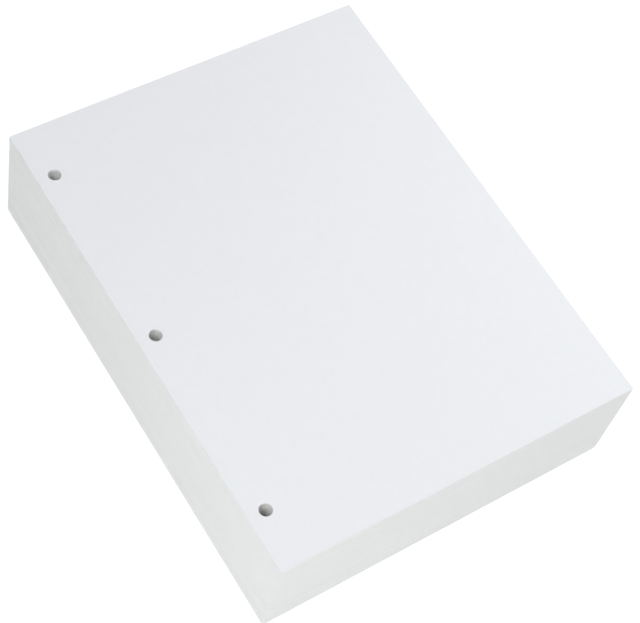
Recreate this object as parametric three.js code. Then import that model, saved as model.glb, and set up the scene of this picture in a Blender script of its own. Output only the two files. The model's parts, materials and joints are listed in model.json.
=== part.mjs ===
// A squared-up stack of loose letter-size sheets, drilled with three binder holes down one long edge.
// The sheets lie flush and pressed together, so the stack is one block of paper with three round holes
// straight through it.
// Millimetres, +Z up. The origin is the middle of the underside. +Y runs up the page, and the holes are
// along the -X edge, which is the left edge of the page as it is read.
import * as THREE from "three";

// The sheet, and how many of them there are
const SHEET_WIDTH = 215.9;
const SHEET_LENGTH = 279.4;
const SHEET_THICKNESS = 0.14;
const SHEET_COUNT = 500;

// The binder holes
const HOLE_COUNT = 3;
const HOLE_DIAMETER = 7.14;
const HOLE_PITCH = 107.95;
const HOLE_EDGE_TO_CENTRE = 10.2;
const HOLE_FACETS = 48;

const stackHeight = SHEET_COUNT * SHEET_THICKNESS;

// Hole centres on the page: a row parallel to the left edge, spread evenly about the middle of the sheet.
function holeCentres() {
  const x = -SHEET_WIDTH / 2 + HOLE_EDGE_TO_CENTRE;
  const firstY = (-(HOLE_COUNT - 1) * HOLE_PITCH) / 2;
  return Array.from({ length: HOLE_COUNT }, (_, i) => new THREE.Vector2(x, firstY + i * HOLE_PITCH));
}

// A closed round path, wound clockwise as a hole in a shape is, with a vertex every 360/HOLE_FACETS degrees.
function roundHole(centre) {
  const path = new THREE.Path();
  for (let i = 0; i < HOLE_FACETS; i++) {
    const angle = (-2 * Math.PI * i) / HOLE_FACETS;
    const x = centre.x + (HOLE_DIAMETER / 2) * Math.cos(angle);
    const y = centre.y + (HOLE_DIAMETER / 2) * Math.sin(angle);
    if (i === 0) path.moveTo(x, y);
    else path.lineTo(x, y);
  }
  path.closePath();
  return path;
}

// One sheet seen from above: a rectangle with square corners and the row of holes.
function sheetOutline() {
  const right = SHEET_WIDTH / 2;
  const top = SHEET_LENGTH / 2;
  const outline = new THREE.Shape([
    new THREE.Vector2(-right, -top),
    new THREE.Vector2(right, -top),
    new THREE.Vector2(right, top),
    new THREE.Vector2(-right, top),
  ]);
  outline.holes = holeCentres().map(roundHole);
  return outline;
}

// Uncoated white copier stock: matt, with a faint cool tint.
const whitePaper = new THREE.MeshStandardMaterial({ color: 0xeceef1, roughness: 0.9, metalness: 0 });

// Every sheet has the same outline, so the whole stack is that outline carried up through its height.
const paperStack = new THREE.Mesh(
  new THREE.ExtrudeGeometry(sheetOutline(), { depth: stackHeight, bevelEnabled: false }),
  whitePaper,
);
paperStack.name = "paper_stack";

const punchedPaper = new THREE.Group();
punchedPaper.add(paperStack);

export default punchedPaper;
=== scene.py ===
import json
import math

import bpy
import numpy as np
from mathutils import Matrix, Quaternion, Vector
from mathutils.geometry import delaunay_2d_cdt, tessellate_polygon


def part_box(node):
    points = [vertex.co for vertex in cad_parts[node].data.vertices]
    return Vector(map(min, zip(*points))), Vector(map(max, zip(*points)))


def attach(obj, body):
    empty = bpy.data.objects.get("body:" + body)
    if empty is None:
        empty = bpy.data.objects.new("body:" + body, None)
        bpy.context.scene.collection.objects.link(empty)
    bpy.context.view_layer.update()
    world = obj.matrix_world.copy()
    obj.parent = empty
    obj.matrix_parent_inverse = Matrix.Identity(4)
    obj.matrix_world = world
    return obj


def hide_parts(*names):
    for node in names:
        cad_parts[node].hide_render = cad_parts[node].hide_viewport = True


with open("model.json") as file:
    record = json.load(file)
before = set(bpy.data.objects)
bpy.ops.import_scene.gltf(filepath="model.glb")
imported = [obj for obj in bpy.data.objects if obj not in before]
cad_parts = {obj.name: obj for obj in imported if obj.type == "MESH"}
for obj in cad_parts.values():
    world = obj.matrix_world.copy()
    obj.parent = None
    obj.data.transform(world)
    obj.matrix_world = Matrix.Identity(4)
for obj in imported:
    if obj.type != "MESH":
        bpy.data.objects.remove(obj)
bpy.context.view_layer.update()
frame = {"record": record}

# The stacked sheets: some five hundred loose leaves of white uncoated copier stock, guillotined to letter
# size, drilled through for a ring binder in one stroke and knocked up square. Nothing binds them, so they
# lie a hundredth of a millimetre or two apart, in handfuls that have slipped slightly on one another.
low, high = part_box("paper_stack")
MM = 0.001
LEAVES = 499  # with the top sheet, below, five hundred
LEAF = 0.122 * MM
TOP_SHEET_ROOM = 0.4 * MM  # kept free above these leaves for the top sheet and its curl
SLACK = 0.16 * MM  # inside the solid's sides, so that a slipped and turned leaf stays within them
LONG_SIDE_STEPS = 6
SHORT_SIDE_STEPS = 5

HOLE_RADIUS = 3.57 * MM
HOLE_STEPS = 32
MOUTH = 14 * MM  # a little deeper than the camera sees down a hole
DEEP_LEAVES = 6  # further in, one row of points for this many leaves
hole_centres = [
    (Vector(opening["box_m"][0]) + Vector(opening["box_m"][1])) / 2
    for opening in frame["record"]["physics"]["openings"]
]

EDGE_ROUNDING = 0.02 * MM
SLIP = 0.035 * MM
MOST_SLIP = 0.1 * MM
TURN = 0.00012  # radians
MOST_TURN = 0.0004
OWN_SLIP = 0.25  # what a leaf moves by itself, as a share of what its handful does
RUN_ACROSS, RUN_ALONG, RUN_TURNED = 23, 31, 37  # leaves in a handful that moved together

ONCE_ROUND, TWICE_ROUND = 0.6, 0.3  # how much a gap varies on its way round the stack
GAP_SHAPE = 0.6  # most gaps tight, a few wide
LEAST_GAP = 0.15
GAP_DEPTH = 1.2  # how far in a gap runs, for its height

chance = np.random.default_rng(28)
stack_top = high.z - TOP_SHEET_ROOM


def page_outline(inset, long_steps, short_steps):
    """Points anticlockwise round the page from its bottom left corner, drawn in by inset."""
    left, right = low.x + inset, high.x - inset
    bottom, top = low.y + inset, high.y - inset
    corners = np.array([(left, bottom), (right, bottom), (right, top), (left, top)])
    outline = []
    for i, steps in enumerate((short_steps, long_steps, short_steps, long_steps)):
        start, end = corners[i], corners[(i + 1) % 4]
        outline += [start + (end - start) * k / steps for k in range(steps)]
    return np.array(outline)


def ring(centre, radius, steps):
    """Points clockwise round a hole, so that a wall raised on them faces into the hole."""
    angles = -2 * np.pi * np.arange(steps) / steps
    return np.stack([centre.x + radius * np.cos(angles), centre.y + radius * np.sin(angles)], 1)


def wander(reach, most, run):
    """One value a leaf, which holds for about run leaves, as a handful of paper slips together."""
    handfuls = np.repeat(chance.normal(0, reach, LEAVES // run + 1), run)[:LEAVES]
    return (handfuls + chance.normal(0, reach * OWN_SLIP, LEAVES)).clip(-most, most)


slip = np.stack([wander(SLIP, MOST_SLIP, RUN_ACROSS), wander(SLIP, MOST_SLIP, RUN_ALONG)], 1)
turn = wander(TURN, MOST_TURN, RUN_TURNED)


def as_it_lies(points, leaf):
    """Points of the page, turned and slipped as that leaf is."""
    turned = np.stack([points[:, 0] - turn[leaf] * points[:, 1], points[:, 1] + turn[leaf] * points[:, 0]], 1)
    return turned + slip[leaf]


def side_rows():
    """Rows of points up the four sides: the rounded foot and head of each leaf, and the gap under it."""
    outline = page_outline(SLACK, LONG_SIDE_STEPS, SHORT_SIDE_STEPS)
    inward = (page_outline(SLACK + MM, LONG_SIDE_STEPS, SHORT_SIDE_STEPS) - outline) / MM
    along = np.linspace(0, 2 * np.pi, len(outline), endpoint=False)
    phases = chance.uniform(0, 2 * np.pi, (LEAVES, 2))
    swell = 1 + ONCE_ROUND * np.cos(along + phases[:, :1]) + TWICE_ROUND * np.cos(2 * along + phases[:, 1:])
    gaps = (chance.gamma(GAP_SHAPE, 1, (LEAVES, 1)) + LEAST_GAP) * swell
    gaps[0] = 0
    gaps *= (stack_top - low.z - LEAVES * LEAF) / gaps.sum(0)
    feet = low.z + np.arange(LEAVES)[:, None] * LEAF + np.cumsum(gaps, 0)
    rows = []
    for leaf in range(LEAVES):
        edge = as_it_lies(outline, leaf)
        if leaf:
            depth = (EDGE_ROUNDING + GAP_DEPTH * gaps[leaf])[:, None]
            rows.append(np.column_stack([edge + inward * depth, feet[leaf] - gaps[leaf] / 2]))
        rows.append(np.column_stack([edge, feet[leaf] + (EDGE_ROUNDING if leaf else 0)]))
        rows.append(np.column_stack([edge, feet[leaf] + LEAF - EDGE_ROUNDING]))
    rows.append(np.column_stack([edge, np.full(len(edge), stack_top)]))
    return rows


def hole_rows(centre):
    """Rows of points up a drilled hole: leaf by leaf near its two mouths, and coarser between them."""
    pitch = (stack_top - low.z) / LEAVES
    first_edge = as_it_lies(ring(centre, HOLE_RADIUS, HOLE_STEPS), 0)
    rows = [np.column_stack([first_edge, np.full(HOLE_STEPS, low.z)])]
    for leaf in range(LEAVES):
        foot = low.z + leaf * pitch
        from_mouth = min(foot - low.z, stack_top - foot)
        if from_mouth > MOUTH and leaf % DEEP_LEAVES:
            continue
        for height, radius in ((0.0, HOLE_RADIUS + EDGE_ROUNDING), (0.5, HOLE_RADIUS)):
            if leaf or height:
                edge = as_it_lies(ring(centre, radius, HOLE_STEPS), leaf)
                rows.append(np.column_stack([edge, np.full(HOLE_STEPS, foot + height * pitch)]))
    rows.append(np.column_stack([edge, np.full(HOLE_STEPS, stack_top)]))
    return rows


PAGE, CUT, DRILLED = range(3)


def block_of_leaves():
    """The whole stack as one closed skin: points, faces, and the finish of each face."""
    points, faces, finishes, feet, heads = [], [], [], [], []
    for rows in [side_rows()] + [hole_rows(centre) for centre in hole_centres]:
        first, around = len(points), len(rows[0])
        points += [tuple(p) for row in rows for p in row]
        for r in range(len(rows) - 1):
            for k in range(around):
                a, b = first + r * around + k, first + r * around + (k + 1) % around
                faces.append((a, b, b + around, a + around))
        finishes += [DRILLED if feet else CUT] * (len(faces) - len(finishes))
        feet.append(range(first, first + around))
        heads.append(range(len(points) - around, len(points)))
    for loops, upward in ((feet, False), (heads, True)):
        corners = [i for loop in loops for i in loop]
        for triangle in tessellate_polygon([[Vector(points[i]) for i in loop] for loop in loops]):
            a, b, c = (corners[i] for i in triangle)
            across, along = Vector(points[b]) - Vector(points[a]), Vector(points[c]) - Vector(points[a])
            faces.append((a, b, c) if (across.cross(along).z > 0) == upward else (a, c, b))
            finishes.append(PAGE)
    return points, faces, finishes


def wire(tree, kind, inputs, **settings):
    """A new node, with each input given a value or joined to another node's output."""
    made = tree.nodes.new(kind)
    for name, value in settings.items():
        setattr(made, name, value)
    for name, value in inputs.items():
        if isinstance(value, bpy.types.NodeSocket):
            tree.links.new(value, made.inputs[name])
        else:
            made.inputs[name].default_value = value
    return made


def grain(tree, cells_per_mm, detail=2.0, roughness=0.5):
    """Noise with that many cells to a millimetre along X, Y and Z."""
    place = wire(tree, "ShaderNodeTexCoord", {}).outputs["Object"]
    scale = [cells / MM for cells in cells_per_mm]
    place = wire(tree, "ShaderNodeMapping", {"Vector": place, "Scale": scale}).outputs["Vector"]
    settings = {"Vector": place, "Scale": 1.0, "Detail": detail, "Roughness": roughness}
    return wire(tree, "ShaderNodeTexNoise", settings).outputs["Fac"]


def between(tree, value, lowest, highest, start=0.3, end=0.7):
    """Noise runs from about start to end, and comes out from lowest to highest."""
    inputs = {"Value": value, "From Min": start, "From Max": end, "To Min": lowest, "To Max": highest}
    return wire(tree, "ShaderNodeMapRange", inputs).outputs["Result"]


COLOUR_A, COLOUR_B, COLOUR_RESULT = 6, 7, 2  # where a mix node keeps these sockets


def blend_colours(tree, factor, first, second):
    """The first colour where factor is 0, and the second where it is 1."""
    mix = wire(tree, "ShaderNodeMix", {"Factor": factor}, data_type="RGBA")
    for socket, colour in ((mix.inputs[COLOUR_A], first), (mix.inputs[COLOUR_B], second)):
        if isinstance(colour, bpy.types.NodeSocket):
            tree.links.new(colour, socket)
        else:
            socket.default_value = (*colour, 1)
    return mix.outputs[COLOUR_RESULT]


PAPER_ROUGHNESS = 0.9
PAPER_SHINE = 0.25


def paper(name):
    """A matt, uncoated paper with nothing on its colour and bump yet: the material, its tree and shader."""
    material = bpy.data.materials.new(name)
    material.use_nodes = True
    tree = material.node_tree
    shader = tree.nodes["Principled BSDF"]
    shader.inputs["Roughness"].default_value = PAPER_ROUGHNESS
    shader.inputs["Specular IOR Level"].default_value = PAPER_SHINE
    return material, tree, shader


CLOUDS_PER_MM = (0.28, 0.2, 0.28)
FIBRES_PER_MM = (5.0, 1.8, 5.0)
BLUISH_WHITE = (0.835, 0.852, 0.884)
CLOUD_WHITE = (0.852, 0.866, 0.893)
FIBRE_WHITE = (0.815, 0.832, 0.862)
MOST_FIBRE = 0.6
FIBRE_RELIEF = 0.02 * MM


def page_face():
    """The face of a sheet: bright bluish white, faintly cloudy from the pulp, with fine fibres."""
    material, tree, shader = paper("page_face")
    clouds = grain(tree, CLOUDS_PER_MM, detail=3.0, roughness=0.55)
    fibres = grain(tree, FIBRES_PER_MM, detail=3.0, roughness=0.6)
    white = blend_colours(tree, between(tree, clouds, 0, 1), BLUISH_WHITE, CLOUD_WHITE)
    white = blend_colours(tree, between(tree, fibres, 0, MOST_FIBRE), white, FIBRE_WHITE)
    tree.links.new(white, shader.inputs["Base Color"])
    bump = wire(tree, "ShaderNodeBump", {"Strength": 0.5, "Distance": FIBRE_RELIEF, "Height": fibres})
    tree.links.new(bump.outputs["Normal"], shader.inputs["Normal"])
    return material


EDGE_LEAVES_PER_MM = (0.02, 0.02, 4.0)
EDGE_HANDFULS_PER_MM = (0.012, 0.012, 0.45)
KNIFE_MARKS_PER_MM = (1.6, 1.6, 0.03)
# The darker leaf and handful colours are painted shade, for the gaps between leaves and the steps between
# slipped handfuls
LEAF_GAP_SHADE = (0.807, 0.827, 0.819)
PALE_LEAF = (0.857, 0.870, 0.866)
HANDFUL_STEP_SHADE = (0.787, 0.808, 0.80)
KNIFE_MARK = (0.807, 0.823, 0.815)
MOST_HANDFUL_STEP_SHADE = 0.35
MOST_KNIFE = 0.25
KNIFE_RELIEF = 0.02 * MM


def cut_edges():
    """The guillotined edges: a duller, slightly green white, with painted shade in fine lines for the gaps
    between leaves and in broader bands for the steps of slipped handfuls, and faint knife marks.
    """
    material, tree, shader = paper("cut_edges")
    leaves = grain(tree, EDGE_LEAVES_PER_MM, detail=3.0, roughness=0.65)
    handfuls = grain(tree, EDGE_HANDFULS_PER_MM, detail=2.0)
    knife = grain(tree, KNIFE_MARKS_PER_MM, detail=3.0, roughness=0.6)
    # Painted shade in fine lines, for the gaps between leaves
    white = blend_colours(tree, between(tree, leaves, 0, 1), LEAF_GAP_SHADE, PALE_LEAF)
    # Painted shade in broader bands, where handfuls have slipped on one another
    white = blend_colours(tree, between(tree, handfuls, 0, MOST_HANDFUL_STEP_SHADE), white, HANDFUL_STEP_SHADE)
    white = blend_colours(tree, between(tree, knife, 0, MOST_KNIFE), white, KNIFE_MARK)
    tree.links.new(white, shader.inputs["Base Color"])
    bump = wire(tree, "ShaderNodeBump", {"Strength": 0.3, "Distance": KNIFE_RELIEF, "Height": knife})
    tree.links.new(bump.outputs["Normal"], shader.inputs["Normal"])
    return material


# Painted shade and light down the holes. Each wall keeps the paper's white for its top 0.6 mm. Below that it
# is painted grey, with darker streaks, for the shade below the mouth, and this fades out between 1.6 mm and 6
# mm in. Further in, the wall is painted paler than the paper
UNSHADED_RIM_DEPTH = 0.6 * MM
SHADE_FULL_DEPTH = 1.6 * MM
SHADE_GONE_DEPTH = 6 * MM
WALL_LEAVES_PER_MM = (0.05, 0.05, 5.0)
WALL_SHADE_STREAKS_PER_MM = (0.08, 0.08, 0.75)
DEEP_WHITE = (0.92, 0.92, 0.91)
PAINTED_SHADE_GREY = (0.73, 0.73, 0.73)
DARKER_SHADE_GREY = (0.42, 0.42, 0.42)
WALL_GAP_SHADE = (0.82, 0.82, 0.82)
RIM_WHITE = (0.83, 0.84, 0.84)
MOST_SHADE_STREAK = 0.6
SHADE_STREAKS_FROM, SHADE_STREAKS_FULL = 0.42, 0.6  # of the noise, so that they come in separate bands
MOST_WALL_GAP_SHADE = 0.3
WALL_RELIEF = 0.03 * MM


def drilled_walls():
    """The walls of the holes: the paper's white at the rims, painted grey with darker streaks below them for
    the shade down a hole, and painted paler than the paper further in.
    """
    material, tree, shader = paper("drilled_walls")
    leaves = grain(tree, WALL_LEAVES_PER_MM, detail=2.0, roughness=0.6)
    # Noise for the darker streaks of painted shade
    handfuls = grain(tree, WALL_SHADE_STREAKS_PER_MM, detail=3.0, roughness=0.65)
    place = wire(tree, "ShaderNodeTexCoord", {}).outputs["Object"]
    height = wire(tree, "ShaderNodeSeparateXYZ", {0: place}).outputs["Z"]
    middle, reach = (low.z + high.z) / 2, (high.z - low.z) / 2
    from_middle = wire(tree, "ShaderNodeMath", {0: height, 1: middle}, operation="SUBTRACT").outputs["Value"]
    from_middle = wire(tree, "ShaderNodeMath", {0: from_middle}, operation="ABSOLUTE").outputs["Value"]
    # Painted shade below each mouth, fading out further in
    painted_shade = between(tree, from_middle, 0, 1, reach - SHADE_GONE_DEPTH, reach - SHADE_FULL_DEPTH)
    unshaded_rim = between(tree, from_middle, 0, 1, reach - SHADE_FULL_DEPTH, reach - UNSHADED_RIM_DEPTH)
    # Darker streaks of painted shade within that band
    shade_streaks = between(tree, handfuls, 0, MOST_SHADE_STREAK, SHADE_STREAKS_FROM, SHADE_STREAKS_FULL)
    shade_streaks = wire(tree, "ShaderNodeMath", {0: shade_streaks, 1: painted_shade}, operation="MULTIPLY").outputs["Value"]
    # Painted paler than the paper deep in, and painted shade grey below the mouths
    grey = blend_colours(tree, painted_shade, DEEP_WHITE, PAINTED_SHADE_GREY)
    grey = blend_colours(tree, shade_streaks, grey, DARKER_SHADE_GREY)
    # Painted shade in the gaps between leaves
    grey = blend_colours(tree, between(tree, leaves, 0, MOST_WALL_GAP_SHADE), grey, WALL_GAP_SHADE)
    # The top of each wall is left the paper's own white, unshaded
    grey = blend_colours(tree, unshaded_rim, grey, RIM_WHITE)
    tree.links.new(grey, shader.inputs["Base Color"])
    bump = wire(tree, "ShaderNodeBump", {"Strength": 0.4, "Distance": WALL_RELIEF, "Height": leaves})
    tree.links.new(bump.outputs["Normal"], shader.inputs["Normal"])
    return material


CREASE = math.radians(25)  # edges sharper than this stay crisp
paper_finishes = [page_face(), cut_edges(), drilled_walls()]


def piece(name, points, faces, finishes):
    """A piece of paper of those points and faces, which rides on the one body and replaces its solid."""
    mesh = bpy.data.meshes.new(name)
    mesh.from_pydata(points, [], faces)
    for material in paper_finishes:
        mesh.materials.append(material)
    mesh.polygons.foreach_set("material_index", finishes)
    mesh.shade_smooth()
    mesh.set_sharp_from_angle(angle=CREASE)
    made = bpy.data.objects.new(name, mesh)
    bpy.context.scene.collection.objects.link(made)
    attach(made, "root")
    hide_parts("paper_stack")


piece("stacked_sheets", *block_of_leaves())

# The top sheet: one more leaf of the same stock, the one whose face shows. It is not pressed down by
# others, so its corners stand a fraction of a millimetre off the stack, and the drill has rolled the rims of
# its holes over.
TOP_GRID = 8 * MM
TOP_RING_STEPS = 64
# How far out from a hole's wall, and how far down the sheet is bent there
LIP = ((0.0, 0.06 * MM), (0.1 * MM, 0.03 * MM), (0.25 * MM, 0.01 * MM), (0.6 * MM, 0.0))
CURL_REACH = 95 * MM
curls = {
    (high.x, low.y): 0.2 * MM,
    (high.x, high.y): 0.09 * MM,
    (low.x, high.y): 0.12 * MM,
    (low.x, low.y): 0.05 * MM,
}
TOP_GAP = 0.01 * MM
resting_height = stack_top + TOP_GAP + LEAF


def curl(x, y):
    """How far the sheet stands off the stack there."""
    lift = 0.0
    for (corner_x, corner_y), most in curls.items():
        near = max(0.0, 1 - math.hypot(x - corner_x, y - corner_y) / CURL_REACH)
        lift += most * near * near
    return lift


FILL_THE_OUTLINE = 1  # what the triangulation keeps: all inside the sheet's sides, its holes too
SAME_POINT = 1e-9


def top_leaf():
    """The top sheet as a closed solid: points, faces, and the finish of each face."""
    long_steps = round((high.y - low.y) / TOP_GRID)
    short_steps = round((high.x - low.x) / TOP_GRID)
    flat = [Vector(p) for p in page_outline(SLACK, long_steps, short_steps)]
    loops = [list(range(len(flat)))]
    dips = [0.0] * len(flat)
    for centre in hole_centres:
        loops.append(list(range(len(flat), len(flat) + TOP_RING_STEPS)))
        for outwards, dip in LIP:
            flat += [Vector(p) for p in ring(centre, HOLE_RADIUS + outwards, TOP_RING_STEPS)]
            dips += [dip] * TOP_RING_STEPS
    clear = HOLE_RADIUS + 2 * LIP[-1][0]
    for x in np.linspace(low.x, high.x, short_steps + 1)[1:-1]:
        for y in np.linspace(low.y, high.y, long_steps + 1)[1:-1]:
            if min(math.hypot(x - c.x, y - c.y) for c in hole_centres) > clear:
                flat.append(Vector((x, y)))
                dips.append(0.0)
    edges = [(loop[i - 1], loop[i]) for loop in loops for i in range(len(loop))]
    triangles = delaunay_2d_cdt(flat, edges, [], FILL_THE_OUTLINE, SAME_POINT)[2]
    # A triangle inside a hole has all its corners on that hole's wall, and is left out.
    in_a_hole = [set(loop) for loop in loops[1:]]
    page_faces = [t for t in triangles if not any(hole.issuperset(t) for hole in in_a_hole)]
    heights = [resting_height + curl(place.x, place.y) - dip for place, dip in zip(flat, dips)]
    count = len(flat)
    points = [(place.x, place.y, height) for place, height in zip(flat, heights)]
    points += [(place.x, place.y, height - LEAF) for place, height in zip(flat, heights)]
    faces = page_faces + [tuple(i + count for i in reversed(t)) for t in page_faces]
    finishes = [PAGE] * len(faces)
    for loop, finish in zip(loops, [CUT] + [DRILLED] * len(hole_centres)):
        faces += [(loop[i - 1], loop[i - 1] + count, loop[i] + count, loop[i]) for i in range(len(loop))]
        finishes += [finish] * len(loop)
    return points, faces, finishes


piece("top_sheet", *top_leaf())

# The surface the stack lies on: a pale matt board, which reads as plain white with only the stack's own soft
# shadow. Under the stack it is the plain board, so that no white shows down the holes.
FLOOR_RADIUS = 6.0
FLOOR_SIDES = 64
UNDER_EDGE = 4 * MM
BOARD = (0.9, 0.9, 0.9, 1)
WHITE = (1, 1, 1, 1)
GLOW = 1.2
NEAR_WHITENING = 0.7  # up to SHADOWS_END away, and from there it rises to 1 at ALL_WHITE
SHADOWS_END = 0.45
ALL_WHITE = 1.5


def seen_directly(tree):
    """1 for rays from the camera and for those that mirror or pass through to the background, else 0."""
    path = wire(tree, "ShaderNodeLightPath", {})
    seen = path.outputs["Is Camera Ray"]
    for ray in ("Is Glossy Ray", "Is Transmission Ray"):
        either = {0: seen, 1: path.outputs[ray]}
        seen = wire(tree, "ShaderNodeMath", either, operation="MAXIMUM").outputs["Value"]
    return seen


def white_sweep():
    """Pale matt board, seen most of the way to pure white round the stack, and all the way further out."""
    material = bpy.data.materials.new("white_sweep")
    material.use_nodes = True
    tree = material.node_tree
    tree.nodes.remove(tree.nodes["Principled BSDF"])
    board = wire(tree, "ShaderNodeBsdfDiffuse", {"Color": BOARD}).outputs["BSDF"]
    glow = wire(tree, "ShaderNodeEmission", {"Color": WHITE, "Strength": GLOW}).outputs["Emission"]
    place = wire(tree, "ShaderNodeTexCoord", {}).outputs["Object"]
    away = wire(tree, "ShaderNodeVectorMath", {0: place}, operation="LENGTH").outputs["Value"]
    whitening = between(tree, away, NEAR_WHITENING, 1.0, SHADOWS_END, ALL_WHITE)
    both = {0: seen_directly(tree), 1: whitening}
    share = wire(tree, "ShaderNodeMath", both, operation="MULTIPLY").outputs["Value"]
    mix = wire(tree, "ShaderNodeMixShader", {0: share, 1: board, 2: glow}).outputs["Shader"]
    tree.links.new(mix, tree.nodes["Material Output"].inputs["Surface"])
    return material


def shaded_board():
    """The same board under the stack, where it is seen only down the holes."""
    material = bpy.data.materials.new("shaded_board")
    material.use_nodes = True
    shader = material.node_tree.nodes["Principled BSDF"]
    shader.inputs["Base Color"].default_value = BOARD
    shader.inputs["Roughness"].default_value = 1.0
    return material


angles = 2 * np.pi * np.arange(FLOOR_SIDES) / FLOOR_SIDES
rim = [Vector((x, y, low.z)) for x, y in FLOOR_RADIUS * np.stack([np.cos(angles), np.sin(angles)], 1)]
under = [Vector((x, y, low.z)) for x, y in page_outline(UNDER_EDGE, 1, 1)]
open_floor = tessellate_polygon([rim, under])
under_stack = tuple(range(FLOOR_SIDES, FLOOR_SIDES + len(under)))
floor_mesh = bpy.data.meshes.new("floor")
floor_mesh.from_pydata(rim + under, [], open_floor + [under_stack])
floor_mesh.materials.append(white_sweep())
floor_mesh.materials.append(shaded_board())
floor_mesh.polygons[-1].material_index = 1
floor = bpy.data.objects.new("floor", floor_mesh)
bpy.context.scene.collection.objects.link(floor)

# Soft studio light: a big softbox high over the punched edge, a second one low on the camera's side, weaker
# fills on the right and behind, and a dim even sky.
SKY = 0.15
lamps = {
    "high_softbox": dict(azimuth=-60, elevation=60, away=1.4, size=0.9, watts=7.98),
    "low_softbox": dict(azimuth=-45, elevation=25, away=1.4, size=0.9, watts=7.55),
    "front_right_fill": dict(azimuth=45, elevation=30, away=1.4, size=0.9, watts=2.86),
    "right_fill": dict(azimuth=90, elevation=45, away=0.7, size=0.4, watts=1.65),
    "back_fill": dict(azimuth=180, elevation=30, away=1.4, size=0.9, watts=3.0),
}
LAMP_AIM = Vector((0, 0, 30 * MM))


def towards(azimuth, elevation):
    """The way from the object to that azimuth and elevation, in degrees. Azimuth 0 is in front, at -Y."""
    a, e = math.radians(azimuth), math.radians(elevation)
    return Vector((math.sin(a) * math.cos(e), -math.cos(a) * math.cos(e), math.sin(e)))


for name, lamp in lamps.items():
    light = bpy.data.lights.new(name, "AREA")
    light.shape = "SQUARE"
    light.size = lamp["size"]
    light.energy = lamp["watts"]
    holder = bpy.data.objects.new(name, light)
    way = towards(lamp["azimuth"], lamp["elevation"])
    holder.location = LAMP_AIM + way * lamp["away"]
    holder.rotation_euler = way.to_track_quat("Z", "Y").to_euler()
    bpy.context.scene.collection.objects.link(holder)

world = bpy.data.worlds.new("studio")
world.use_nodes = True
tree = world.node_tree
background = tree.nodes["Background"]
background.inputs["Color"].default_value = WHITE
inputs = {"Value": seen_directly(tree), "To Min": SKY, "To Max": 1.0}
tree.links.new(wire(tree, "ShaderNodeMapRange", inputs).outputs["Result"], background.inputs["Strength"])
bpy.context.scene.world = world
bpy.context.scene.view_settings.view_transform = "Standard"

# The camera, where the photograph was taken from: over the near corner of the punched edge, turned a little.
CAMERA_AIM = Vector((0.31 * MM, -11.44 * MM, 35 * MM))
CAMERA_AZIMUTH = -47.133
CAMERA_ELEVATION = 58.33
CAMERA_ROLL = -17.645
CAMERA_AWAY = 977.8 * MM
LENS_MM = 102.348
FRAME_WIDTH_MM = 36

camera_data = bpy.data.cameras.new("camera")
camera_data.sensor_fit = "HORIZONTAL"
camera_data.sensor_width = FRAME_WIDTH_MM
camera_data.lens = LENS_MM
camera = bpy.data.objects.new("camera", camera_data)
back = towards(CAMERA_AZIMUTH, CAMERA_ELEVATION)
camera.location = CAMERA_AIM + back * CAMERA_AWAY
camera.rotation_mode = "QUATERNION"
level = (-back).to_track_quat("-Z", "Y")
camera.rotation_quaternion = level @ Quaternion((0, 0, 1), math.radians(-CAMERA_ROLL))
bpy.context.scene.collection.objects.link(camera)
bpy.context.scene.camera = camera
